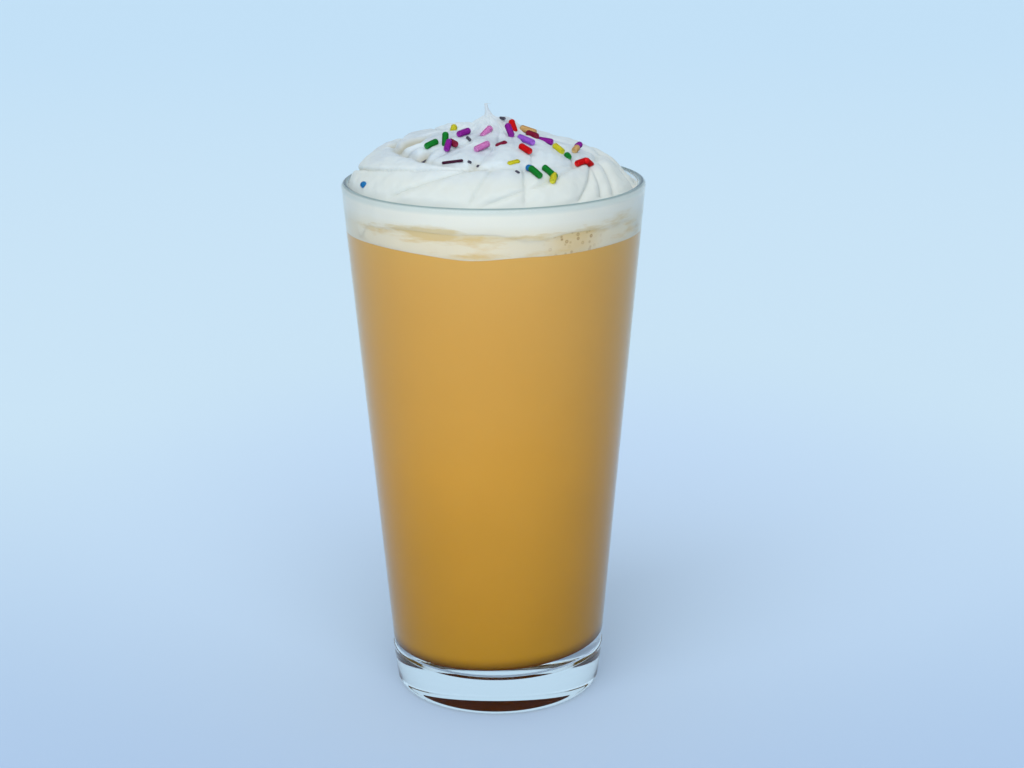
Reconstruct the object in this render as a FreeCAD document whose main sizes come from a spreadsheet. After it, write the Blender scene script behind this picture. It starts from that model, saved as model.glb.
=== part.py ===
# Vanilla latte in a tapered mixing glass, with a layer of foam and a swirl of whipped cream.
# The foot stands on the origin, +Z is up, and all sizes are in millimetres.
import FreeCAD, Part
import math
import os
import Sketcher

# Driving dimensions: alias, value, meaning.
drivingSizes = [
    ("glassHeight", 160.0, "foot to rim"),
    ("rimRadius", 45.35, "outer radius of the cone at the rim"),
    ("heelRadius", 33.0, "outer radius of the cone where the heel begins"),
    ("heelHeight", 12.2, "height at which the heel begins"),
    ("footInset", 1.1, "how much the heel narrows down to the foot, before rounding"),
    ("footRounding", 2.0, "radius of the foot's outer corner"),
    ("rimWall", 2.4, "wall thickness at the rim"),
    ("rimRoundness", 0.96, "share of the rim's half thickness that is rounded off"),
    ("heelWall", 3.1, "wall thickness at the cavity's floor"),
    ("floorThickness", 13.2, "clear base under the cavity"),
    ("cavityCorner", 4.0, "rounding between the cavity's floor and its wall"),
    ("footRing", 3.4, "width of the flat ring that the glass stands on"),
    ("hollowDepth", 2.6, "rise of the hollow inside the foot ring, at the axis"),
    ("creamEdgeDrop", 1.6, "how far under the rim the swirl leaves the wall"),
    ("creamSeat", 6.9, "cream pressed against the wall below the swirl"),
    ("foamThickness", 6.2, "milk foam between latte and cream"),
    ("swirlInset", 0.5, "step from the wall to the foot of the swirl"),
    ("swirlRise", 17.0, "height of the swirl's dome above its edge"),
    ("swirlFullness", 0.61, "exponent of the dome: lower is fuller at the edge"),
    ("swirlLean", 2.0, "how far the tip leans towards -X"),
    ("shoulderLift", 1.1, "how much higher the dome stands on the -X side"),
    ("fluteCount", 13, "twisted flutes left by the piping nozzle"),
    ("fluteDepth", 1.8, "depth of the crease between two flutes"),
    ("creaseSharpness", 3.0, "exponent of the crease: higher is a narrower one"),
    ("fluteTwist", 1.8, "radians that a crease winds round from the edge to the tip"),
    ("ledgeRadius", 29.5, "where the upper turn of the swirl sits on the lower one"),
    ("ledgeDepth", 1.7, "depth of that ledge on the -X side"),
    ("ledgeWidth", 2.6, "half width of the ledge"),
    ("tipRise", 7.2, "wisp above the dome"),
    ("tipSpread", 3.6, "radius over which the wisp falls off"),
    ("tipRadius", 0.8, "radius of the wisp's blunt end"),
]


def fillSheet(doc):
    """Put the driving dimensions in a spreadsheet, one alias each."""
    sheet = doc.addObject("Spreadsheet::Sheet", "Sizes")
    for row, (alias, value, meaning) in enumerate(drivingSizes, start=1):
        sheet.set(f"A{row}", meaning)
        sheet.set(f"B{row}", str(value))
        sheet.setAlias(f"B{row}", alias)
    doc.recompute()
    return sheet


# Levels and radii that several pieces share, as expressions of the sheet.
creamEdgeLevel = "(Sizes.glassHeight - Sizes.creamEdgeDrop)"
foamTopLevel = f"({creamEdgeLevel} - Sizes.creamSeat)"
latteLevel = f"({foamTopLevel} - Sizes.foamThickness)"
footRadius = "(Sizes.heelRadius - Sizes.footInset)"
hollowRadius = f"({footRadius} - Sizes.footRounding - Sizes.footRing)"
floorRadius = "(Sizes.heelRadius - Sizes.heelWall)"
rimInnerRadius = "(Sizes.rimRadius - Sizes.rimWall)"


def wallRadius(level):
    """Expression for the radius of the cavity's wall at a level."""
    rise = f"({level} - Sizes.floorThickness) / (Sizes.glassHeight - Sizes.floorThickness)"
    return f"({floorRadius} + ({rimInnerRadius} - {floorRadius}) * {rise})"


def revolvedBody(doc, name, corners):
    """A body turned about Z from a closed outline of (radius, height) expressions.

    The outline starts and ends on the axis, where the radius is None.
    """
    body = doc.addObject("PartDesign::Body", name)
    body.Label = name
    sketch = body.newObject("Sketcher::SketchObject", f"{name}_profile")
    planes = body.Origin.OriginFeatures
    sketch.AttachmentSupport = [(next(p for p in planes if p.Role == "XZ_Plane"), "")]
    sketch.MapMode = "FlatFace"

    # rough places in the right order, which the constraints then settle
    values = [(0.0 if r is None else evaluate(sketch, r), evaluate(sketch, z)) for r, z in corners]
    count = len(corners)
    for i in range(count):
        start = FreeCAD.Vector(*values[i], 0)
        end = FreeCAD.Vector(*values[(i + 1) % count], 0)
        sketch.addGeometry(Part.LineSegment(start, end), False)
    for i in range(count):
        sketch.addConstraint(Sketcher.Constraint("Coincident", i, 2, (i + 1) % count, 1))
    for i, (radius, height) in enumerate(corners):
        if radius is None:
            sketch.addConstraint(Sketcher.Constraint("PointOnObject", i, 1, -2))
        else:
            bindDistance(sketch, "DistanceX", i, values[i][0], radius)
        if height == "0":
            sketch.addConstraint(Sketcher.Constraint("PointOnObject", i, 1, -1))
        else:
            bindDistance(sketch, "DistanceY", i, values[i][1], height)

    turned = body.newObject("PartDesign::Revolution", f"{name}_turned")
    turned.Profile = sketch
    turned.ReferenceAxis = (sketch, ["V_Axis"])
    turned.Angle = 360.0
    doc.recompute()
    return body


def evaluate(owner, expression):
    """Value of an expression of the sheet."""
    return float(owner.evalExpression(expression))


def bindDistance(sketch, kind, line, value, expression):
    """Hold the start of a line at a distance from the sketch's origin."""
    index = sketch.addConstraint(Sketcher.Constraint(kind, -1, 1, line, 1, value))
    sketch.setExpression(f"Constraints[{index}]", expression)


def circleEdges(shape, places):
    """Names of the full circles about Z that lie at the given (radius, height) places."""
    names = []
    for i, edge in enumerate(shape.Edges, start=1):
        if not isinstance(edge.Curve, Part.Circle):
            continue
        for radius, height in places:
            if abs(edge.Curve.Radius - radius) < 1e-4 and abs(edge.Curve.Center.z - height) < 1e-4:
                names.append(f"Edge{i}")
    return names


def roundEdges(doc, body, name, places, radiusExpression):
    """Fillet the circles at the given places of a body's last feature."""
    base = body.Tip
    rounding = body.newObject("PartDesign::Fillet", name)
    rounding.Base = (base, circleEdges(base.Shape, places))
    rounding.setExpression("Radius", radiusExpression)
    doc.recompute()
    return rounding


def makeGlass(doc):
    """Tapered glass with a thick clear base, a rounded rim and a hollow under the foot."""
    body = revolvedBody(doc, "glass", [
        (None, "0"),
        (footRadius, "0"),
        ("Sizes.heelRadius", "Sizes.heelHeight"),
        ("Sizes.rimRadius", "Sizes.glassHeight"),
        (rimInnerRadius, "Sizes.glassHeight"),
        (floorRadius, "Sizes.floorThickness"),
        (None, "Sizes.floorThickness"),
    ])
    height = evaluate(body, "Sizes.glassHeight")
    rim = [(evaluate(body, "Sizes.rimRadius"), height), (evaluate(body, rimInnerRadius), height)]
    roundEdges(doc, body, "rim_rounding", rim, "Sizes.rimWall / 2 * Sizes.rimRoundness")
    floor = [(evaluate(body, floorRadius), evaluate(body, "Sizes.floorThickness"))]
    roundEdges(doc, body, "cavity_corner", floor, "Sizes.cavityCorner")
    foot = [(evaluate(body, footRadius), 0.0)]
    roundEdges(doc, body, "foot_rounding", foot, "Sizes.footRounding")

    # the hollow is a cap of a large sphere that leaves a flat foot ring
    hollow = body.newObject("PartDesign::SubtractiveSphere", "foot_hollow")
    sphereRadius = f"({hollowRadius}^2 + Sizes.hollowDepth^2) / (2 * Sizes.hollowDepth)"
    hollow.setExpression("Radius", sphereRadius)
    hollow.setExpression("Placement.Base.z", f"Sizes.hollowDepth - {sphereRadius}")
    doc.recompute()
    return body


def makeLatte(doc):
    """The drink, face to face with the cavity up to the underside of the foam."""
    body = revolvedBody(doc, "latte", [
        (None, "Sizes.floorThickness"),
        (floorRadius, "Sizes.floorThickness"),
        (wallRadius(latteLevel), latteLevel),
        (None, latteLevel),
    ])
    floor = [(evaluate(body, floorRadius), evaluate(body, "Sizes.floorThickness"))]
    roundEdges(doc, body, "latte_corner", floor, "Sizes.cavityCorner")
    return body


def makeFoam(doc):
    """Milk foam that floats on the latte, right across the glass."""
    return revolvedBody(doc, "milk_foam", [
        (None, latteLevel),
        (wallRadius(latteLevel), latteLevel),
        (wallRadius(foamTopLevel), foamTopLevel),
        (None, foamTopLevel),
    ])


def swirlPoint(sheet, outerRadius, edgeLevel, progress, turn):
    """A point of the swirl: progress runs from its edge (0) to its tip (1), turn around it."""
    crowding = 1.15  # above 1 brings the rings closer together near the tip
    span = outerRadius - sheet.tipRadius
    radius = sheet.tipRadius + span * math.cos(progress * math.pi / 2) ** crowding
    share = radius / outerRadius
    level = edgeLevel + sheet.swirlRise * (1 - share ** 2) ** sheet.swirlFullness
    level += sheet.tipRise * progress * math.exp(-(radius - sheet.tipRadius) / sheet.tipSpread)

    # a crease keeps its own turn, and winds round as it comes closer to the axis
    azimuth = turn + sheet.fluteTwist * (1 - share)
    side = -math.cos(azimuth)  # 1 towards -X, -1 towards +X
    settled = math.sin(math.pi * progress)  # 0 at the edge and at the tip
    level += sheet.shoulderLift * side * settled
    fromLedge = (radius - sheet.ledgeRadius) / sheet.ledgeWidth
    ledge = sheet.ledgeDepth * (1 + side) / 2 * math.exp(-fromLedge ** 2)
    valley = (1 + math.cos(int(sheet.fluteCount) * turn)) / 2  # 1 in the crease, 0 on the flute
    crease = sheet.fluteDepth * valley ** sheet.creaseSharpness
    fade = 0.4  # share of the way up over which both cuts come to full depth
    depth = (ledge + crease) * min(1.0, settled / fade)

    # the cuts go in along the normal of a dome: sideways at its edge, down at its top
    sideways = share ** 3
    radius -= depth * sideways
    level -= depth * math.sqrt(1 - sideways ** 2)
    lean = sheet.swirlLean * progress
    return FreeCAD.Vector(radius * math.cos(azimuth) - lean, radius * math.sin(azimuth), level)


def makeSwirl(doc, sheet):
    """The piped dome: a spline surface whose rings of poles follow the twisted flutes."""
    outerRadius = evaluate(sheet, f"{wallRadius(creamEdgeLevel)} - Sizes.swirlInset")
    edgeLevel = evaluate(sheet, creamEdgeLevel)
    ringCount = 15
    polesPerFlute = 5
    poleCount = polesPerFlute * int(sheet.fluteCount)
    degree = 3
    poles = []
    for i in range(ringCount):
        progress = i / (ringCount - 1)
        turns = [2 * math.pi * k / poleCount for k in range(poleCount)]
        poles.append([swirlPoint(sheet, outerRadius, edgeLevel, progress, turn) for turn in turns])

    # clamped from edge to tip, and closed on itself round the dome
    upKnots = [float(i) for i in range(ringCount - degree + 1)]
    upMultiplicities = [degree + 1] + [1] * (ringCount - degree - 1) + [degree + 1]
    roundKnots = [float(k) for k in range(poleCount + 1)]
    roundMultiplicities = [1] * (poleCount + 1)
    surface = Part.BSplineSurface()
    surface.buildFromPolesMultsKnots(poles, upMultiplicities, roundMultiplicities,
                                     upKnots, roundKnots, False, True, degree, degree)
    skin = surface.toShape()
    rings = [edge for edge in skin.Edges if len(edge.Vertexes) == 1]
    ends = [Part.Face(Part.Wire([ring])) for ring in rings]
    shell = Part.makeShell([skin] + ends)
    shell.sewShape()
    swirl = doc.addObject("Part::Feature", "swirl")
    swirl.Shape = Part.makeSolid(Part.Shell(shell.Faces))
    return swirl


def makeCream(doc, sheet):
    """Whipped cream: a plug that seats in the glass on the foam, and the swirl on top of it."""
    plug = doc.addObject("Part::Cone", "cream_plug")
    plug.setExpression("Radius1", wallRadius(foamTopLevel))
    plug.setExpression("Radius2", wallRadius(creamEdgeLevel))
    plug.setExpression("Height", "Sizes.creamSeat")
    plug.setExpression("Placement.Base.z", foamTopLevel)
    doc.recompute()
    cream = doc.addObject("Part::Fuse", "whipped_cream")
    cream.Base = plug
    cream.Tool = makeSwirl(doc, sheet)
    cream.Label = "whipped_cream"
    doc.recompute()
    return cream


def checkAndWrite(doc, pieces):
    """Stop on any failed object, then write one STEP file for each piece."""
    failed = [o.Name for o in doc.Objects if {"Invalid", "Error"} & set(o.State)]
    if failed:
        raise RuntimeError(f"failed objects: {failed}")
    for piece in pieces:
        shape = piece.Shape
        if shape.isNull() or not shape.isValid() or len(shape.Solids) != 1:
            raise RuntimeError(f"{piece.Label} isn't one valid solid")
    os.makedirs("parts", exist_ok=True)
    for piece in pieces:
        piece.Shape.exportStep(f"parts/{piece.Label}.step")
        box = piece.Shape.BoundBox
        print(f"{piece.Label}: {piece.Shape.Volume / 1000:.1f} ml, z {box.ZMin:.2f} to {box.ZMax:.2f}")


doc = FreeCAD.newDocument("VanillaLatte")
sheet = fillSheet(doc)
pieces = [makeGlass(doc), makeLatte(doc), makeFoam(doc), makeCream(doc, sheet)]
checkAndWrite(doc, pieces)
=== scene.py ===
import math

import bpy
from mathutils import Matrix, Vector, noise
from mathutils.bvhtree import BVHTree


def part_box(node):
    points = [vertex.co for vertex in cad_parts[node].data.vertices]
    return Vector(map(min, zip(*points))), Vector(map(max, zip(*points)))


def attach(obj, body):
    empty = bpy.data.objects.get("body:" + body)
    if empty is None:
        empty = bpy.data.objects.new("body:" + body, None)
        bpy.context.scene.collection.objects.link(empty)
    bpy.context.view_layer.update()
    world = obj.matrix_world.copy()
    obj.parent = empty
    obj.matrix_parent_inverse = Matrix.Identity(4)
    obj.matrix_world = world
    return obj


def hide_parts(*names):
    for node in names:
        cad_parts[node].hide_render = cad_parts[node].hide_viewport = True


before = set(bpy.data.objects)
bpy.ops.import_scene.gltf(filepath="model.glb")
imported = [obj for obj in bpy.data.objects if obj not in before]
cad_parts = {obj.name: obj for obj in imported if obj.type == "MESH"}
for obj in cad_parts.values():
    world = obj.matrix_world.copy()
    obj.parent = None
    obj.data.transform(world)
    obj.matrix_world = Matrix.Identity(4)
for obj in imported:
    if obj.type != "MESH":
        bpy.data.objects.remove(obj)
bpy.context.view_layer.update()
mm = 0.001
smoothAngle = 55  # sharper edges than this stay crisp, in degrees
weldReach = 0.002  # points closer than this become one

# levels that the frame gives, in millimetres
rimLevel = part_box("glass")[1].z / mm
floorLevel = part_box("latte")[0].z / mm
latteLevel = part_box("latte")[1].z / mm
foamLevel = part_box("milk_foam")[1].z / mm
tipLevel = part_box("whipped_cream")[1].z / mm
print("frame loaded, rim at", round(rimLevel, 1), "mm")


def linear(hexText, alpha=1.0):  # sRGB hex to the linear values that the shaders take
    parts = [int(hexText[i:i + 2], 16) / 255 for i in (0, 2, 4)]
    return [p / 12.92 if p <= 0.04045 else ((p + 0.055) / 1.055) ** 2.4 for p in parts] + [alpha]


def addNode(tree, kind, inputs=None, **options):  # a node with its settings and links
    node = tree.nodes.new(kind)
    for name, value in options.items():
        setattr(node, name, value)
    for name, value in (inputs or {}).items():
        if isinstance(value, bpy.types.NodeSocket):
            tree.links.new(value, node.inputs[name])
        else:
            node.inputs[name].default_value = value
    return node


def perSize(size):  # texture scale whose features are about so many millimetres wide
    return 1 / (size * mm)


def newMaterial(name):
    material = bpy.data.materials.new(name)
    material.use_nodes = True
    material.node_tree.nodes.clear()
    return material, material.node_tree


def deselectAll():
    if bpy.context.object and bpy.context.object.mode != "OBJECT":
        bpy.ops.object.mode_set(mode="OBJECT")
    bpy.ops.object.select_all(action="DESELECT")


def smooth(value, low, high):  # 0 below low, 1 above high, eased in between
    share = min(1.0, max(0.0, (value - low) / (high - low)))
    return share * share * (3 - 2 * share)


def roundCorner(before, corner, after, radius, steps):  # arc that rounds a corner of an outline
    corner = Vector(corner)
    toBefore = (Vector(before) - corner).normalized()
    toAfter = (Vector(after) - corner).normalized()
    halfTurn = toBefore.angle(toAfter) / 2
    centre = corner + (toBefore + toAfter).normalized() * radius / math.sin(halfTurn)
    start = corner + toBefore * radius / math.tan(halfTurn) - centre
    end = corner + toAfter * radius / math.tan(halfTurn) - centre
    first = math.atan2(start.y, start.x)
    sweep = (math.atan2(end.y, end.x) - first + math.pi) % (2 * math.pi) - math.pi
    return [(centre.x + radius * math.cos(first + sweep * i / steps),
             centre.y + radius * math.sin(first + sweep * i / steps)) for i in range(steps + 1)]


def outlineRings(corners, steps=8, longestRun=9.0, support=0.3):
    # corners are (radius, level, rounding); long straight runs get rings of their own,
    # close to their ends too, so that the smooth shading stays flat along them
    points = []
    for i, (radius, level, rounding) in enumerate(corners):
        if rounding:
            before, after = corners[i - 1][:2], corners[i + 1][:2]
            points += roundCorner(before, (radius, level), after, rounding, steps)
        else:
            points.append((radius, level))
    rings = [points[0]]
    for start, end in zip(points, points[1:]):
        a, b = Vector(start), Vector(end)
        run = (b - a).length
        if run > 10 * support:
            inner = run - 2 * support
            count = max(1, math.ceil(inner / longestRun))
            for k in range(count + 1):
                rings.append(tuple(a.lerp(b, (support + inner * k / count) / run)))
        rings.append(end)
    return rings


def turnOutline(name, outline, segments):
    # one vertex drawn out along the outline, then spun round the axis as on a lathe
    deselectAll()
    radius, level = outline[0]
    bpy.ops.mesh.primitive_plane_add(size=mm, location=(radius * mm, 0, level * mm))
    piece = bpy.context.object
    piece.name = piece.data.name = name
    bpy.ops.object.transform_apply(location=True, rotation=True, scale=True)
    bpy.ops.object.mode_set(mode="EDIT")
    bpy.ops.mesh.select_all(action="SELECT")
    bpy.ops.mesh.merge(type="CENTER")
    for nextRadius, nextLevel in outline[1:]:
        step = ((nextRadius - radius) * mm, 0, (nextLevel - level) * mm)
        bpy.ops.mesh.extrude_region_move(TRANSFORM_OT_translate={"value": step})
        radius, level = nextRadius, nextLevel
    bpy.ops.mesh.select_all(action="SELECT")
    bpy.ops.mesh.spin(steps=segments, angle=2 * math.pi, center=(0, 0, 0), axis=(0, 0, 1))
    bpy.ops.mesh.select_all(action="SELECT")
    bpy.ops.mesh.remove_doubles(threshold=weldReach * mm)
    bpy.ops.mesh.normals_make_consistent(inside=False)
    bpy.ops.object.mode_set(mode="OBJECT")
    bpy.ops.object.shade_smooth_by_angle(angle=math.radians(smoothAngle))
    return piece


def finishPiece(piece, material, slot, *nodes):
    piece.data.materials.clear()
    piece.data.materials.append(material)
    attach(piece, "root")
    if nodes:
        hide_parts(*nodes)


glassSizes = {
    "rimRadius": 45.35, "rimWall": 2.4, "rimRounding": 1.15,
    "heelRadius": 33.0, "heelLevel": 12.2, "heelWall": 3.1,
    # outward and up from the heel, and rounding
    "heelRidge": (0.3, 0.25, 0.5), "heelGroove": (-0.04, 1.15, 0.15), "sideStart": (0.18, 1.9, 0.4),
    "footInset": 1.1, "footRounding": 2.0, "footRing": 3.4, "hollowDepth": 0.8, "hollowSteps": 10,
    "cavityCorner": 4.0, "floorEdge": 1.5, "floorCentre": -0.6, "bowlShare": 0.9,
    "bowlRings": (0.75, 0.6, 0.45, 0.3, 0.15, 0.0),
    "floorTilt": 0.04, "tiltAbove": 9.0, "tiltFade": (20, 45), "tiltReach": 0.6,
    "grip": 0.25, "segments": 192,
}


def cavityRadius(level):  # inner wall of the glass
    low = glassSizes["heelRadius"] - glassSizes["heelWall"]
    high = glassSizes["rimRadius"] - glassSizes["rimWall"]
    return low + (high - low) * (level - floorLevel) / (rimLevel - floorLevel)


def cavityFloor(grip=0.0):  # rounded corner and shallow bowl at the bottom of the drink
    g = glassSizes
    edge = floorLevel + g["floorEdge"]
    outer = cavityRadius(edge)
    corners = [(outer + grip, edge - grip, g["cavityCorner"] + grip)]
    for share in g["bowlRings"]:
        drop = (g["floorEdge"] - g["floorCentre"]) * (1 - share ** 2) * g["bowlShare"]
        corners.append((outer * share, edge - drop - grip, 0))
    return corners


def tiltFloor(piece):  # the bottom of the cavity sits a little lower on the -X side
    g = glassSizes
    fadeLow, fadeHigh = g["tiltFade"]
    for vertex in piece.data.vertices:
        x, y, z = vertex.co / mm
        reach = cavityRadius(max(z, floorLevel)) + g["tiltReach"]
        if g["tiltAbove"] < z < fadeHigh and math.hypot(x, y) < reach:
            vertex.co.z += g["floorTilt"] * x * (1 - smooth(z, fadeLow, fadeHigh)) * mm


def buildGlass():
    g = glassSizes
    foot = g["heelRadius"] - g["footInset"]
    hollow = foot - g["footRounding"] - g["footRing"]
    dome = (hollow ** 2 + g["hollowDepth"] ** 2) / (2 * g["hollowDepth"])
    under = []
    for i in range(g["hollowSteps"]):
        radius = hollow * i / g["hollowSteps"]
        under.append((radius, g["hollowDepth"] - dome + math.sqrt(dome ** 2 - radius ** 2)))
    heel = [(g["heelRadius"] + outward, g["heelLevel"] + up, rounding)
            for outward, up, rounding in (g["heelRidge"], g["heelGroove"], g["sideStart"])]
    sides = outlineRings([(hollow, 0.0, 0), (foot, 0.0, g["footRounding"])] + heel + [
        (g["rimRadius"], rimLevel, g["rimRounding"]),
        (g["rimRadius"] - g["rimWall"], rimLevel, g["rimRounding"]),
    ] + cavityFloor())
    piece = turnOutline("drinkingGlass", under + sides, g["segments"])
    tiltFloor(piece)
    return piece


glassLook = {"wall": "F4F7F9", "edge": "748B8D", "shadow": "EEF4F4", "index": 1.52, "shine": 0.25}


def sodaLimeGlass():  # pressed clear glass, with its own tint and painted shade in grey-green along the rim
    material, tree = newMaterial("sodaLimeGlass")
    places = addNode(tree, "ShaderNodeTexCoord")
    split = addNode(tree, "ShaderNodeSeparateXYZ", {0: places.outputs["Object"]})
    # painted shade and the glass's own tint: the top of the rim turns darker grey-green
    rimShade = addNode(tree, "ShaderNodeMapRange", {
        "Value": split.outputs["Z"],
        "From Min": (rimLevel - 0.5) * mm, "From Max": (rimLevel - 0.1) * mm})
    tint = addNode(tree, "ShaderNodeMix", {
        0: rimShade.outputs[0], 6: linear(glassLook["wall"]), 7: linear(glassLook["edge"])},
        data_type="RGBA")
    glass = addNode(tree, "ShaderNodeBsdfPrincipled", {
        "Base Color": tint.outputs[2], "Roughness": 0.0, "IOR": glassLook["index"],
        "Transmission Weight": 1.0, "Specular Tint": [glassLook["shine"]] * 3 + [1.0]})
    path = addNode(tree, "ShaderNodeLightPath")
    clear = addNode(tree, "ShaderNodeBsdfTransparent", {"Color": linear(glassLook["shadow"])})
    # lamps reach the drink through the wall
    both = addNode(tree, "ShaderNodeMixShader", {0: path.outputs["Is Shadow Ray"],
                                                 1: glass.outputs[0], 2: clear.outputs[0]})
    addNode(tree, "ShaderNodeOutputMaterial", {"Surface": both.outputs[0]})
    return material


latteSizes = {"stir": 9.0}  # how far below its top the drink moves with the foam's wave
latteLook = {"top": "DBAB5C", "middle": "D39D3F", "low": "B98624", "bottom": "9A6814",
             "under": "883E02"}


def foamWave(turn):  # how far the foam's underside strays from its level, in millimetres
    dip = math.exp(-((math.degrees(turn) + 98) / 14) ** 2)
    return 0.7 + 0.25 * math.sin(2 * turn + 0.6) + 0.12 * math.sin(7 * turn) - 1.1 * dip


# fingers of cream that reach down into the foam: place in degrees, depth in millimetres,
# width in degrees
creamFingers = [(-151, 4.0, 3.5), (-20, 3.2, 4.0), (-75, 1.6, 9.0), (64, 3.0, 5.0)]


def creamWave(turn):  # the same for the cream's underside
    degrees = math.degrees(turn)
    fingers = sum(depth * math.exp(-((degrees - place) / width) ** 2)
                  for place, depth, width in creamFingers)
    return 0.5 + 0.5 * math.sin(3 * turn + 1.0) + 0.25 * math.sin(11 * turn) - fingers


onlyLevel = 0.1  # reach on the side of a boundary where the piece has nothing to move


def waveLevel(piece, level, above, below, wave):  # what is within reach of a boundary moves with it
    for vertex in piece.data.vertices:
        away = vertex.co.z / mm - level
        share = 1 - abs(away) / (above if away > 0 else below)
        if share > 0:
            turn = math.atan2(vertex.co.y, vertex.co.x)
            vertex.co.z += wave(turn) * min(1.0, share) * mm


def buildLatte():
    grip = glassSizes["grip"]
    rings = outlineRings([
        (0.0, latteLevel, 0),
        (cavityRadius(latteLevel) + grip, latteLevel, 0),
    ] + cavityFloor(grip))
    piece = turnOutline("latteDrink", rings, glassSizes["segments"])
    waveLevel(piece, latteLevel, onlyLevel, latteSizes["stir"], foamWave)
    tiltFloor(piece)
    return piece


def milkyCoffee():  # opaque and smooth, paler where milk rises, darker and browner below, partly painted shade
    material, tree = newMaterial("milkyCoffee")
    places = addNode(tree, "ShaderNodeTexCoord")
    split = addNode(tree, "ShaderNodeSeparateXYZ", {0: places.outputs["Object"]})
    # the colour follows the bottom, which leans
    lean = addNode(tree, "ShaderNodeMath", {0: split.outputs["X"], 1: -glassSizes["floorTilt"]},
                   operation="MULTIPLY")
    level = addNode(tree, "ShaderNodeMath", {0: split.outputs["Z"], 1: lean.outputs[0]},
                    operation="ADD")
    height = addNode(tree, "ShaderNodeMapRange", {
        "Value": level.outputs[0], "From Min": floorLevel * mm, "From Max": latteLevel * mm})
    clouds = addNode(tree, "ShaderNodeTexNoise", {
        "Vector": places.outputs["Object"], "Scale": 22.0, "Detail": 3.0, "Roughness": 0.5})
    drift = addNode(tree, "ShaderNodeMapRange", {
        "Value": clouds.outputs["Fac"], "From Min": 0.3, "From Max": 0.7,
        "To Min": -0.05, "To Max": 0.05})
    apart = addNode(tree, "ShaderNodeMapRange", {
        "Value": height.outputs[0], "From Min": 0.08, "From Max": 0.25})
    drifted = addNode(tree, "ShaderNodeMath", {0: drift.outputs[0], 1: apart.outputs[0]},
                      operation="MULTIPLY")
    where = addNode(tree, "ShaderNodeMath", {0: height.outputs[0], 1: drifted.outputs[0]},
                    operation="ADD")
    # the drink's own colour and painted shade: darker and browner towards the bottom, where less light
    # comes from above
    ramp = addNode(tree, "ShaderNodeValToRGB", {"Fac": where.outputs[0]})
    stops = ramp.color_ramp.elements
    stops[0].position, stops[0].color = 0.0, linear(latteLook["under"])
    stops[1].position, stops[1].color = 1.0, linear(latteLook["top"])
    stops.new(0.01).color = linear(latteLook["under"])
    stops.new(0.018).color = linear(latteLook["bottom"])
    stops.new(0.045).color = linear(latteLook["low"])
    stops.new(0.5).color = linear(latteLook["middle"])
    # it wets the wall, so it has no shine of its own there
    drink = addNode(tree, "ShaderNodeBsdfPrincipled", {
        "Base Color": ramp.outputs["Color"], "Roughness": 0.45, "IOR": 1.34,
        "Specular IOR Level": 0.0})
    addNode(tree, "ShaderNodeOutputMaterial", {"Surface": drink.outputs[0]})
    return material


foamSizes = {"ringHeight": 0.8, "topReach": 5.0, "underReach": 3.0}
foamLook = {"pale": "E9DEC7", "tan": "DFC594", "bubble": "A8804F", "bubbleSize": 1.6,
            "patch": (23.0, -36.0, 151.5), "streak": (-19.0, -38.0, 152.2), "streakSize": 16,
            "stretch": 5.0}


def buildFoam():
    grip = glassSizes["grip"]
    low = (cavityRadius(latteLevel) + grip, latteLevel, 0)
    high = (cavityRadius(foamLevel) + grip, foamLevel, 0)
    side = outlineRings([low, high], longestRun=foamSizes["ringHeight"])
    rings = [(0.0, latteLevel)] + side + [(0.0, foamLevel)]
    piece = turnOutline("milkFoamLayer", rings, 2 * glassSizes["segments"])
    waveLevel(piece, foamLevel, onlyLevel, foamSizes["topReach"], creamWave)
    waveLevel(piece, latteLevel, foamSizes["underReach"], onlyLevel, foamWave)
    return piece


def stainMask(tree, places):  # where coffee has soaked up: long streaks near the top of the foam
    stretch = addNode(tree, "ShaderNodeMapping", {
        "Vector": places.outputs["Object"], "Scale": (1.0, 1.0, foamLook["stretch"])})
    streaks = addNode(tree, "ShaderNodeTexNoise", {
        "Vector": stretch.outputs[0], "Scale": perSize(foamLook["streakSize"]), "Detail": 4.0,
        "Roughness": 0.6})
    split = addNode(tree, "ShaderNodeSeparateXYZ", {0: places.outputs["Object"]})
    away = addNode(tree, "ShaderNodeMath", {0: split.outputs["Z"], 1: (foamLevel - 0.4) * mm},
                   operation="SUBTRACT")
    away = addNode(tree, "ShaderNodeMath", {0: away.outputs[0]}, operation="ABSOLUTE")
    near = addNode(tree, "ShaderNodeMapRange", {
        "Value": away.outputs[0], "From Min": 0.4 * mm, "From Max": 3.2 * mm,
        "To Min": 0.06, "To Max": -0.08})
    # the widest of them
    x, y, z = foamLook["streak"]
    reach = addNode(tree, "ShaderNodeVectorMath", {
        0: stretch.outputs[0], 1: (x * mm, y * mm, foamLook["stretch"] * z * mm)},
        operation="DISTANCE")
    wide = addNode(tree, "ShaderNodeMapRange", {
        "Value": reach.outputs["Value"], "From Min": 4 * mm, "From Max": 15 * mm,
        "To Min": 0.16, "To Max": 0.0})
    both = addNode(tree, "ShaderNodeMath", {0: near.outputs[0], 1: wide.outputs[0]}, operation="ADD")
    return addNode(tree, "ShaderNodeMath", {0: streaks.outputs["Fac"], 1: both.outputs[0]},
                   operation="ADD")


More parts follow.
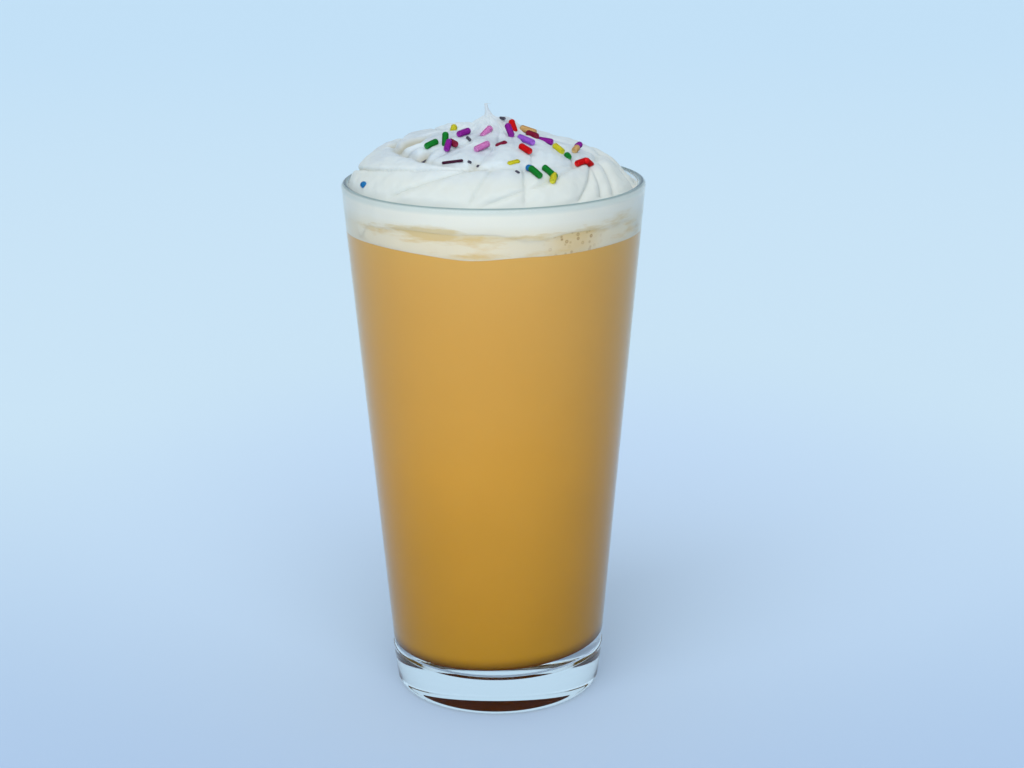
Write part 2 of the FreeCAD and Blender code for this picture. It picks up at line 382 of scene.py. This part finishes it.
def steamedMilkFoam():  # fine wet foam, tan where coffee has soaked in, coarse bubbles in one patch
    material, tree = newMaterial("steamedMilkFoam")
    places = addNode(tree, "ShaderNodeTexCoord")
    stain = stainMask(tree, places)
    ramp = addNode(tree, "ShaderNodeValToRGB", {"Fac": stain.outputs[0]})
    stops = ramp.color_ramp.elements
    stops[0].position, stops[0].color = 0.5, linear(foamLook["pale"])
    stops[1].position, stops[1].color = 0.68, linear(foamLook["tan"])
    # bubbles about a millimetre wide, only in one patch, where the foam is browner too
    cells = addNode(tree, "ShaderNodeTexVoronoi", {
        "Vector": places.outputs["Object"], "Scale": perSize(foamLook["bubbleSize"])})
    spot = addNode(tree, "ShaderNodeValToRGB", {"Fac": cells.outputs["Distance"]})
    marks = spot.color_ramp.elements
    marks[0].position, marks[0].color = 0.1, (0.45, 0.45, 0.45, 1)
    marks[1].position, marks[1].color = 0.4, (0, 0, 0, 1)
    marks.new(0.24).color = (1, 1, 1, 1)
    few = addNode(tree, "ShaderNodeSeparateColor", {0: cells.outputs["Color"]})
    patch = addNode(tree, "ShaderNodeVectorMath", {
        0: places.outputs["Object"], 1: [v * mm for v in foamLook["patch"]]}, operation="DISTANCE")
    inPatch = addNode(tree, "ShaderNodeMapRange", {
        "Value": patch.outputs["Value"], "From Min": 4 * mm, "From Max": 11 * mm,
        "To Min": 1.0, "To Max": 0.0})
    kept = addNode(tree, "ShaderNodeMath", {0: inPatch.outputs[0], 1: few.outputs["Red"]},
                   operation="MULTIPLY")
    shown = addNode(tree, "ShaderNodeMath", {0: spot.outputs["Color"], 1: kept.outputs[0]},
                    operation="MULTIPLY")
    browner = addNode(tree, "ShaderNodeMath", {0: inPatch.outputs[0], 1: 0.8}, operation="MULTIPLY")
    wash = addNode(tree, "ShaderNodeMix", {
        0: browner.outputs[0], 6: ramp.outputs["Color"], 7: linear(foamLook["tan"])},
        data_type="RGBA")
    mix = addNode(tree, "ShaderNodeMix", {
        0: shown.outputs[0], 6: wash.outputs[2], 7: linear(foamLook["bubble"])}, data_type="RGBA")
    foam = addNode(tree, "ShaderNodeBsdfPrincipled", {
        "Base Color": mix.outputs[2], "Roughness": 0.6, "Specular IOR Level": 0.0,
        "Subsurface Weight": 0.4, "Subsurface Radius": (1.0, 0.9, 0.8), "Subsurface Scale": 0.0025})
    addNode(tree, "ShaderNodeOutputMaterial", {"Surface": foam.outputs[0]})
    return material


creamSizes = {
    "edgeDrop": 1.5, "rise": 17.0, "fullness": 0.61, "crowding": 1.15, "rings": 120, "segments": 540,
    "ringHeight": 0.8, "knobRise": 3.2, "knobSpread": 6.0,
    "wispFoot": 1.6, "wispTip": 0.45, "wispSteps": 10, "wispTaper": 2.2,
    # radius where the upper turn sits on the lower one, and where its creases end
    "turnSeam": 31.5, "upperEnd": 8.0,
    "seamWidth": 1.2, "seamDepth": 0.7, "seamDeeper": 0.9, "seamInset": 2.0,
    "foldSteep": 0.4, "foldEased": 1.7, "foldPuff": 0.5, "puffReach": 3.0,
    # height of each kind of lump, and how close they stand (to the millimetre)
    "lumps": (0.4, 0.16), "grain": (0.14, 0.5), "knobLumps": (1.3, 0.32), "upperLumps": (0.22, 0.42),
    "markHeight": 0.16, "markCount": 14, "markTwist": 60, "gapShade": 0.8,
    "lean": 2.0, "shoulderLift": 1.1, "midSink": 1.1, "edgeSink": 2.2, "wallSink": 1.6,
    "sinkSide": (15, 60), "wallSide": (12, 42),  # where it sinks most and how widely, in degrees
    "underReach": 6.0, "edgeReach": (5.0, 6.0),
}

# creases of the lower turn: where each starts at the wall and ends at the upper turn (degrees),
# and how deep it is (millimetres)
lowerCreases = [
    (154, 262, 1.6), (-136, -99, 0.9), (-99, -91, 0.8), (-78, -74, 0.8), (-96, -40, 0.6),
    (-57, -29, 1.0), (-44, -30, 0.7), (-36, -18, 1.2), (-12, 8, 1.2), (14, 36, 1.0),
    (42, 64, 1.2), (70, 94, 1.0), (104, 130, 1.1),
]
# creases of the upper turn, the deep ones on the -X side
upperCreases = [
    (176, 196, 1.2), (-152, -135, 1.0), (-128, -108, 0.9), (-100, -78, 0.7), (-70, -48, 0.7),
    (-42, -16, 0.9), (-10, 16, 0.9), (20, 46, 1.1), (54, 80, 1.0), (88, 112, 1.1), (130, 156, 1.4),
]
# gaps between folds: millimetres to the right and back, depth, half width
creamGaps = [(-29.5, 2, 3.0, 2.4), (-23.5, -8, 3.2, 2.7), (-19.5, -21, 1.6, 1.6), (-5, -29, 0.8, 1.6),
             (-5, 3, 1.2, 1.8), (3, -4, 0.8, 1.6), (-24, 15, 2.0, 2.2), (20, 20, 1.6, 2.2)]
# lumps and hollows: millimetres to the right and back, height, half width
creamLumps = [(-5, 1, 0.9, 2.1), (2, -2.5, 0.8, 2.4), (6.5, 3, 1.5, 3.4), (-9.5, 4, -1.7, 3.2),
              (-16.5, 5, -1.8, 4.5), (12.5, 6, -1.0, 4.0), (-24, 4, -0.8, 4.0)]


def creamRings():
    c = creamSizes
    grip = glassSizes["grip"]
    edgeLevel = rimLevel - c["edgeDrop"]
    edgeRadius = cavityRadius(edgeLevel) + grip
    foot = (cavityRadius(foamLevel) + grip, foamLevel, 0)
    side = outlineRings([foot, (edgeRadius, edgeLevel, 0)], longestRun=c["ringHeight"])
    rings = [(0.0, foamLevel)] + side
    for i in range(1, c["rings"]):
        share = math.cos(i / c["rings"] * math.pi / 2) ** c["crowding"]
        radius = c["wispFoot"] + (edgeRadius - c["wispFoot"]) * share
        level = edgeLevel + c["rise"] * (1 - (radius / edgeRadius) ** 2) ** c["fullness"]
        level += c["knobRise"] * math.exp(-(radius / c["knobSpread"]) ** 2)
        rings.append((radius, level))
    # the wisp that the nozzle left as it was pulled away
    foot = rings[-1][1]
    for i in range(1, c["wispSteps"] + 1):
        share = i / c["wispSteps"]
        radius = c["wispTip"] + (c["wispFoot"] - c["wispTip"]) * (1 - share) ** c["wispTaper"]
        rings.append((radius, foot + (tipLevel - 0.1 - foot) * share))
    rings.append((0.0, tipLevel - 0.02))
    return rings, edgeRadius, edgeLevel


def rimWave(turn):  # the cream stops short of the rim on the +X side
    middle, width = creamSizes["wallSide"]
    return -creamSizes["wallSink"] * math.exp(-((math.degrees(turn) - middle) / width) ** 2)


def angleGap(a, b):  # signed difference of two angles in degrees
    return (a - b + 180) % 360 - 180


def creaseCut(creases, radius, turn, outer, inner):
    # depth cut by a set of winding creases, and how far the nearest of them is
    progress = (outer - radius) / (outer - inner)
    cut, nearest = 0.0, 99.0
    for start, end, depth in creases:
        gap = math.radians(angleGap(turn, start + (end - start) * progress)) * radius
        nearest = min(nearest, abs(gap))
        # steep on one side and eased on the other, like one fold lying on the next
        falloff = -gap / creamSizes["foldEased"] if gap > 0 else gap / creamSizes["foldSteep"]
        cut = max(cut, depth * math.exp(falloff))
    return cut, nearest


farOff = 9  # squared widths beyond which a gap or a lump is not felt


def gapCut(x, y):  # depth cut by the gaps between folds, drawn out towards the middle
    radius = max(math.hypot(x, y), 0.01)
    cut = 0.0
    for gapX, gapY, depth, width in creamGaps:
        along = ((x - gapX) * x + (y - gapY) * y) / radius
        across = ((y - gapY) * x - (x - gapX) * y) / radius
        away = (along / (1.5 * width)) ** 2 + (across / width) ** 2
        if away < farOff:
            cut += depth * math.exp(-away)
    return cut


def lumpy(place, kind):
    height, closeness = kind
    return height * noise.noise(place * closeness)


def foldPuff(nearest):  # how far a fold swells between its creases
    c = creamSizes
    return c["foldPuff"] * (1 - math.exp(-(nearest / c["puffReach"]) ** 2))


def sculptSwirl(piece, edgeRadius, edgeLevel):
    c = creamSizes
    seamRadius = c["turnSeam"]
    sinkMiddle, sinkWidth = c["sinkSide"]
    folds = piece.data.attributes.new("foldDepth", "FLOAT", "POINT")
    for vertex in piece.data.vertices:
        x, y, z = vertex.co / mm
        radius = math.hypot(x, y)
        if z < edgeLevel + 0.01 or radius < 0.2:  # its flat underside, its wall and the tip's centre
            continue
        turn = math.degrees(math.atan2(y, x))
        share = min(1.0, radius / edgeRadius)
        side = -x / radius
        lower = smooth(radius, seamRadius - 2.5, seamRadius + 1.5)
        settle = smooth(edgeRadius - radius, 0.0, 1.5)
        # creases of the two turns, and the seam between the turns, deeper on the -X side
        cut, nearest = creaseCut(lowerCreases, radius, turn, edgeRadius, seamRadius)
        push = lower * settle * foldPuff(nearest)
        depth = lower * settle * cut
        cut, nearest = creaseCut(upperCreases, radius, turn, seamRadius, c["upperEnd"])
        upper = (1 - lower) * smooth(radius, 5.0, 12.0)
        push += upper * foldPuff(nearest)
        depth += upper * cut
        leftward = smooth(side, 0.2, 1.0)
        seam = seamRadius - c["seamInset"] * leftward
        seamCut = c["seamDepth"] + c["seamDeeper"] * leftward
        depth += seamCut * math.exp(-((radius - seam) / c["seamWidth"]) ** 2)
        gap = gapCut(x, y)
        depth += gap
        # how deep each point lies in a fold or a gap, which the cream's material darkens as painted
        # shade
        folds.data[vertex.index].value = depth + c["gapShade"] * gap
        # soft lumps, and the fine marks of the nozzle that wind with the folds
        place = vertex.co / mm
        wound = math.radians(turn + c["markTwist"] * share)
        aroundX, aroundY = c["markCount"] * math.cos(wound), c["markCount"] * math.sin(wound)
        marks = c["markHeight"] * noise.noise(Vector((aroundX, aroundY, 0.1 * radius)))
        push += settle * (lumpy(place, c["lumps"]) + lumpy(place, c["grain"]))
        push += settle * marks
        push += lumpy(place, c["knobLumps"]) * math.exp(-((radius - c["knobSpread"]) / 4) ** 2)
        push += lumpy(place, c["upperLumps"]) * (1 - lower)
        for lumpX, lumpY, height, width in creamLumps:
            away = ((x - lumpX) ** 2 + (y - lumpY) ** 2) / width ** 2
            if away < farOff:
                push += height * math.exp(-away)
        push -= depth
        # outward near the wall, upward near the middle
        sideways = share ** 3
        grown = radius + push * sideways
        x, y = x * grown / radius, y * grown / radius
        z += push * math.sqrt(1 - sideways ** 2)
        z += c["shoulderLift"] * side * math.sin(math.pi * (1 - share))
        # the last turn sinks towards the rim on the +X side
        sunk = c["midSink"] * smooth(radius, 12, 20) + c["edgeSink"] * smooth(radius, 34, 41)
        z -= sunk * settle * math.exp(-((turn - sinkMiddle) / sinkWidth) ** 2)
        z = min(z, tipLevel - 0.02)
        lean = c["lean"] * smooth(z, rimLevel + 15, tipLevel)
        vertex.co = Vector((x - lean, y, z)) * mm


def buildCream():
    rings, edgeRadius, edgeLevel = creamRings()
    piece = turnOutline("whippedCreamSwirl", rings, creamSizes["segments"])
    waveLevel(piece, foamLevel, creamSizes["underReach"], onlyLevel, creamWave)
    waveLevel(piece, edgeLevel, *creamSizes["edgeReach"], rimWave)
    sculptSwirl(piece, edgeRadius, edgeLevel)
    return piece


creamLook = {"open": "D2D8D2", "upper": "CCD8DD", "shade": "BAC5CD", "fold": "ABA997",
             "behindGlass": "EEEADF", "stain": "DBC495", "cloudSize": 9}


def whippedCream():  # dairy cream: soft, faintly glossy, light goes a little way in
    material, tree = newMaterial("whippedCream")
    places = addNode(tree, "ShaderNodeTexCoord")
    split = addNode(tree, "ShaderNodeSeparateXYZ", {0: places.outputs["Object"]})
    # painted shade: warmer and darker in the folds and the gaps, for the weaker, warmer light that goes
    # from fold to fold
    folds = addNode(tree, "ShaderNodeAttribute", attribute_name="foldDepth")
    deep = addNode(tree, "ShaderNodeMapRange", {
        "Value": folds.outputs["Fac"], "From Min": 0.6, "From Max": 3.2, "To Max": 0.9})
    # painted shade: the upper turn is a little greyer and cooler, unevenly, for the shadows among its
    # folds
    high = addNode(tree, "ShaderNodeMapRange", {
        "Value": split.outputs["Z"],
        "From Min": (rimLevel + 5) * mm, "From Max": (rimLevel + 11) * mm})
    turns = addNode(tree, "ShaderNodeMix", {
        0: high.outputs[0], 6: linear(creamLook["open"]), 7: linear(creamLook["upper"])},
        data_type="RGBA")
    clouds = addNode(tree, "ShaderNodeTexNoise", {
        "Vector": places.outputs["Object"], "Scale": perSize(creamLook["cloudSize"]), "Detail": 3.0})
    upperShadeClouds = addNode(tree, "ShaderNodeMapRange", {
        "Value": clouds.outputs["Fac"], "From Min": 0.42, "From Max": 0.68})
    upperShadeClouds = addNode(tree, "ShaderNodeMath", {0: upperShadeClouds.outputs[0], 1: high.outputs[0]},
                     operation="MULTIPLY")
    upperShaded = addNode(tree, "ShaderNodeMix", {
        0: upperShadeClouds.outputs[0], 6: turns.outputs[2], 7: linear(creamLook["shade"])}, data_type="RGBA")
    foldShaded = addNode(tree, "ShaderNodeMix", {
        0: deep.outputs[0], 6: upperShaded.outputs[2], 7: linear(creamLook["fold"])}, data_type="RGBA")
    # pressed against the wall it is smooth and bright
    pressed = addNode(tree, "ShaderNodeMapRange", {
        "Value": split.outputs["Z"],
        "From Min": (rimLevel - 1.0) * mm, "From Max": (rimLevel - 2.5) * mm})
    walled = addNode(tree, "ShaderNodeMix", {
        0: pressed.outputs[0], 6: foldShaded.outputs[2], 7: linear(creamLook["behindGlass"])},
        data_type="RGBA")
    # its lowest part is mixed with foam, so the two run into each other
    mixed = addNode(tree, "ShaderNodeMapRange", {
        "Value": split.outputs["Z"], "From Min": (foamLevel + 3.5) * mm, "From Max": foamLevel * mm,
        "To Max": 0.9})
    walled = addNode(tree, "ShaderNodeMix", {
        0: mixed.outputs[0], 6: walled.outputs[2], 7: linear(foamLook["pale"])}, data_type="RGBA")
    # coffee stains low down
    stain = stainMask(tree, places)
    soaked = addNode(tree, "ShaderNodeMapRange", {
        "Value": stain.outputs[0], "From Min": 0.5, "From Max": 0.66, "To Max": 0.85})
    low = addNode(tree, "ShaderNodeMapRange", {
        "Value": split.outputs["Z"],
        "From Min": (foamLevel + 4.5) * mm, "From Max": (foamLevel + 2) * mm})
    soaked = addNode(tree, "ShaderNodeMath", {0: soaked.outputs[0], 1: low.outputs[0]},
                     operation="MULTIPLY")
    mix = addNode(tree, "ShaderNodeMix", {
        0: soaked.outputs[0], 6: walled.outputs[2], 7: linear(creamLook["stain"])}, data_type="RGBA")
    cream = addNode(tree, "ShaderNodeBsdfPrincipled", {
        "Base Color": mix.outputs[2], "Roughness": 0.5, "Specular IOR Level": 0.3,
        "Subsurface Weight": 0.4, "Subsurface Radius": (1.0, 0.9, 0.8), "Subsurface Scale": 0.0025})
    addNode(tree, "ShaderNodeOutputMaterial", {"Surface": cream.outputs[0]})
    return material


sprinkleSizes = {"thickness": 1.7, "thinner": {"grey": 0.8, "plum": 0.75}, "sides": 14,
                 "endRounding": 0.38, "endSteps": 4, "raise": 0.3}
sprinkleColours = {
    "green": "16A23A", "purple": "B62CC0", "violet": "C87CFF", "pink": "FFA2EA", "red": "FF0C16",
    "maroon": "A81E48", "orange": "FFD690", "yellow": "FFF83C", "blue": "2E9AE4", "grey": "6C6A7C",
    "plum": "5E2444",
}
# where each lies, seen from above: millimetres to the right and back, turn in degrees, how far it
# sticks up from the cream in degrees, length in millimetres, share of its thickness in the cream
sprinklePlaces = {
    "green": [(-17.5, -17, 38, 0, 4.7, 0.2), (-13.5, -16.5, 85, 40, 4.7, 0.4),
              (21.4, -18, -65, 0, 2.6, 0.3), (12.1, -32.2, -48, 0, 5.2, 0.15),
              (16, -30.8, -30, 0, 5.4, 0.25)],
    "blue": [(10.4, -29.8, -48, 0, 2.2, -0.05), (-37.1, -19.6, 0, 0, 1.9, 0.45)],
    "purple": [(-12.7, -19.3, 75, 15, 4.2, 0.3), (-8.5, -12, 45, 12, 4.9, 0.22),
               (4.8, -10, -65, -38, 5.0, 0.1), (15.3, -7.2, -20, 0, 4.9, 0.0),
               (24.8, -6, 60, 20, 2.9, 0.2)],
    "violet": [(9.8, -12, -46, 0, 6.6, 0.1)],
    "pink": [(-1.6, -9.5, 28, 0, 4.4, 0.3), (-3.1, -22, 35, 10, 5.2, 0.1)],
    "red": [(5.8, -2.8, -65, -10, 4.4, 0.1), (9.2, -21, -52, 0, 5.2, 0.0),
            (25.4, -18, 42, 0, 4.8, 0.1), (27, -16.6, 58, 0, 4.5, 0.0)],
    "maroon": [(-11.3, -18, -55, 0, 4.0, 0.2), (11.4, -6.6, -40, 0, 4.5, 0.15),
               (2.5, -16.5, 45, 0, 4.2, 0.65)],
    "plum": [(-11.2, -27.9, -18, 0, 6.4, 0.22)],
    "orange": [(10.2, -1.6, -12, 0, 5.2, -0.15), (24, -11.9, 60, 20, 2.9, 0.2)],
    "yellow": [(-11.5, -2, 85, 0, 3.2, 0.3), (18.7, -15.3, -55, 0, 4.8, 0.15),
               (17.2, -32.6, 78, 10, 4.4, 0.15), (6, -28.8, 30, 0, 4.2, 0.78)],
    "grey": [(-7, -14, -40, 0, 1.8, 0.2), (2.5, -2, -60, 20, 2.4, 0.1), (-6.5, -28.6, 10, 0, 1.2, 0.4),
             (-4, -29, 60, 0, 0.9, 0.4), (7, -32.5, -40, 0, 1.5, 0.5), (-19.8, -21, 5, 0, 2.6, 0.62)],
}


def oneSprinkle(length, thickness):  # a short rod with rounded ends, lying along X
    deselectAll()
    bpy.ops.mesh.primitive_cylinder_add(vertices=sprinkleSizes["sides"], radius=thickness / 2 * mm,
                                        depth=length * mm, rotation=(0, math.pi / 2, 0))
    rod = bpy.context.object
    bpy.ops.object.transform_apply(location=True, rotation=True, scale=True)
    bpy.ops.object.mode_set(mode="EDIT")
    bpy.ops.mesh.select_all(action="DESELECT")
    bpy.ops.object.mode_set(mode="OBJECT")
    for face in rod.data.polygons:
        face.select = abs(face.normal.x) > 0.9
    bpy.ops.object.mode_set(mode="EDIT")
    bpy.ops.mesh.bevel(offset=min(thickness, length) * sprinkleSizes["endRounding"] * mm,
                       segments=sprinkleSizes["endSteps"], affect="EDGES")
    bpy.ops.object.mode_set(mode="OBJECT")
    bpy.ops.object.shade_smooth()
    return rod


def layOnCream(rod, surface, x, y, turn, rise, outside):  # lies on the cream, or sticks out of it
    spot, normal, _, _ = surface.ray_cast(Vector((x * mm, y * mm, 1.0)), Vector((0, 0, -1)))
    turn, rise = math.radians(turn), math.radians(rise)
    flat = Vector((math.cos(turn), math.sin(turn), 0))
    flat.z = -normal.dot(flat) / normal.z
    flat.normalize()
    across = normal.cross(flat)
    along = flat * math.cos(rise) + normal * math.sin(rise)
    place = Matrix((along, across, along.cross(across))).transposed().to_4x4()
    raised = sprinkleSizes["raise"] * abs(math.sin(rise)) * rod.dimensions.x
    place.translation = spot + normal * (outside * mm + raised)
    rod.data.transform(place)


def sugarShell(name, hexText):  # pressed coloured sugar with a thin confectioner's glaze
    material, tree = newMaterial(name)
    sugar = addNode(tree, "ShaderNodeBsdfPrincipled", {
        "Base Color": linear(hexText), "Roughness": 0.4, "Specular IOR Level": 0.3,
        "Coat Weight": 0.12, "Coat Roughness": 0.2})
    addNode(tree, "ShaderNodeOutputMaterial", {"Surface": sugar.outputs[0]})
    return material


def scatterSprinkles(cream):  # one piece for each colour
    surface = BVHTree.FromObject(cream, bpy.context.evaluated_depsgraph_get())
    for kind, places in sprinklePlaces.items():
        thickness = sprinkleSizes["thinner"].get(kind, sprinkleSizes["thickness"])
        rods = []
        for x, y, turn, rise, length, sink in places:
            rods.append(oneSprinkle(length, thickness))
            layOnCream(rods[-1], surface, x, y, turn, rise, thickness * (0.5 - sink))
        deselectAll()
        for rod in rods:
            rod.select_set(True)
        bpy.context.view_layer.objects.active = rods[0]
        if len(rods) > 1:
            bpy.ops.object.join()
        piece = rods[0]
        piece.name = piece.data.name = f"{kind}Sprinkles"
        finishPiece(piece, sugarShell(f"{kind}Sugar", sprinkleColours[kind]), "whipped_cream")


stageLook = {"front": "B3CEEE", "middle": "D2EAF9", "far": "CAE6F9", "fade": (-0.15, 1.85),
             "shadowLift": "CCE4FD", "poolPlace": (0.02, 0.16, 0), "poolReach": 0.26, "poolCore": 0.04,
             "radius": 6.0, "horizon": 0.95}
lightLook = {"room": 0.53, "roomColour": "F2F8FF", "lamp": 2.1, "lampColour": "FFFFFF",
             "lampHeight": 42, "lampTurn": -9, "softness": 72}


def buildStage():
    deselectAll()
    bpy.ops.mesh.primitive_circle_add(vertices=96, radius=stageLook["radius"], fill_type="NGON")
    floor = bpy.context.object
    floor.name = "studioFloor"
    material, tree = newMaterial("paperSweep")  # matt paper; painted light makes it bluer in front, paler far off
    places = addNode(tree, "ShaderNodeTexCoord")
    split = addNode(tree, "ShaderNodeSeparateXYZ", {0: places.outputs["Object"]})
    fadeStart, fadeEnd = stageLook["fade"]
    # painted light: the paper gets paler further back, as if a window lit it from behind
    fade = addNode(tree, "ShaderNodeMapRange", {
        "Value": split.outputs["Y"], "From Min": fadeStart, "From Max": fadeEnd})
    ramp = addNode(tree, "ShaderNodeValToRGB", {"Fac": fade.outputs[0]})
    ramp.color_ramp.interpolation = "EASE"
    stops = ramp.color_ramp.elements
    stops[0].position, stops[0].color = 0.0, linear(stageLook["front"])
    stops[1].position, stops[1].color = 1.0, linear(stageLook["far"])
    stops.new(0.22).color = linear(stageLook["middle"])
    # painted light: paler around and behind the glass, lifting the shadow that the glass casts on the
    # floor
    away = addNode(tree, "ShaderNodeVectorMath", {
        0: places.outputs["Object"], 1: stageLook["poolPlace"]}, operation="DISTANCE")
    near = addNode(tree, "ShaderNodeMapRange", {
        "Value": away.outputs["Value"], "From Min": stageLook["poolReach"],
        "From Max": stageLook["poolCore"], "To Max": 0.9}, interpolation_type="SMOOTHSTEP")
    shadowLift = addNode(tree, "ShaderNodeMix", {
        0: near.outputs[0], 6: ramp.outputs["Color"], 7: linear(stageLook["shadowLift"])}, data_type="RGBA")
    paper = addNode(tree, "ShaderNodeBsdfPrincipled", {
        "Base Color": shadowLift.outputs[2], "Roughness": 0.9, "Specular IOR Level": 0.1})
    addNode(tree, "ShaderNodeOutputMaterial", {"Surface": paper.outputs[0]})
    floor.data.materials.append(material)


def buildLight():
    world = bpy.data.worlds.new("softRoom")
    bpy.context.scene.world = world
    world.use_nodes = True
    tree = world.node_tree
    tree.nodes.clear()
    room = addNode(tree, "ShaderNodeBackground", {
        "Color": linear(lightLook["roomColour"]), "Strength": lightLook["room"]})
    shown = addNode(tree, "ShaderNodeBackground", {
        "Color": linear(stageLook["far"]), "Strength": stageLook["horizon"]})
    path = addNode(tree, "ShaderNodeLightPath")
    # the paper goes on to the horizon for the eye and for what shows in the glass
    seen = addNode(tree, "ShaderNodeMath", {0: path.outputs["Is Camera Ray"],
                                            1: path.outputs["Is Transmission Ray"]}, operation="MAXIMUM")
    seen = addNode(tree, "ShaderNodeMath", {0: seen.outputs[0],
                                            1: path.outputs["Is Glossy Ray"]}, operation="MAXIMUM")
    both = addNode(tree, "ShaderNodeMixShader", {0: seen.outputs[0],
                                                 1: room.outputs[0], 2: shown.outputs[0]})
    addNode(tree, "ShaderNodeOutputWorld", {"Surface": both.outputs[0]})
    # one wide soft lamp, high in front and a little to the left
    deselectAll()
    tilt = math.radians(90 - lightLook["lampHeight"])
    bpy.ops.object.light_add(type="SUN", rotation=(tilt, 0, math.radians(lightLook["lampTurn"])))
    lamp = bpy.context.object
    lamp.name = "softWindow"
    lamp.data.angle = math.radians(lightLook["softness"])
    lamp.data.energy = lightLook["lamp"]
    lamp.data.color = linear(lightLook["lampColour"])[:3]


cameraSizes = {"distance": 584.0, "lookDown": 16.73, "roll": -0.41, "aim": (5.08, 0.0, 96.3),
               "lens": 66.8, "sensor": 36.0}


def placeCamera():
    c = cameraSizes
    down = math.radians(c["lookDown"])
    aim = Vector(c["aim"])
    ahead = Vector((0, math.cos(down), -math.sin(down)))
    deselectAll()
    bpy.ops.object.camera_add(location=(aim - ahead * c["distance"]) * mm)
    camera = bpy.context.object
    right = Vector((1, 0, 0))
    up = right.cross(ahead)
    turned = Matrix.Rotation(math.radians(-c["roll"]), 3, ahead)
    axes = Matrix((turned @ right, turned @ up, -ahead)).transposed()
    camera.rotation_euler = axes.to_euler()
    camera.data.lens = c["lens"]
    camera.data.sensor_width = c["sensor"]
    camera.data.clip_start = 0.01
    bpy.context.scene.camera = camera
    bpy.context.scene.view_settings.view_transform = "Standard"


placeCamera()
buildStage()
buildLight()
print("stage, light and camera are set")

finishPiece(buildGlass(), sodaLimeGlass(), "clear_glass", "glass")
print("glass turned")
finishPiece(buildLatte(), milkyCoffee(), "latte", "latte")
finishPiece(buildFoam(), steamedMilkFoam(), "milk_foam", "milk_foam")
print("latte and foam poured")
creamPiece = buildCream()
finishPiece(creamPiece, whippedCream(), "whipped_cream", "whipped_cream")
print("cream piped")
scatterSprinkles(creamPiece)
print("sprinkles scattered")
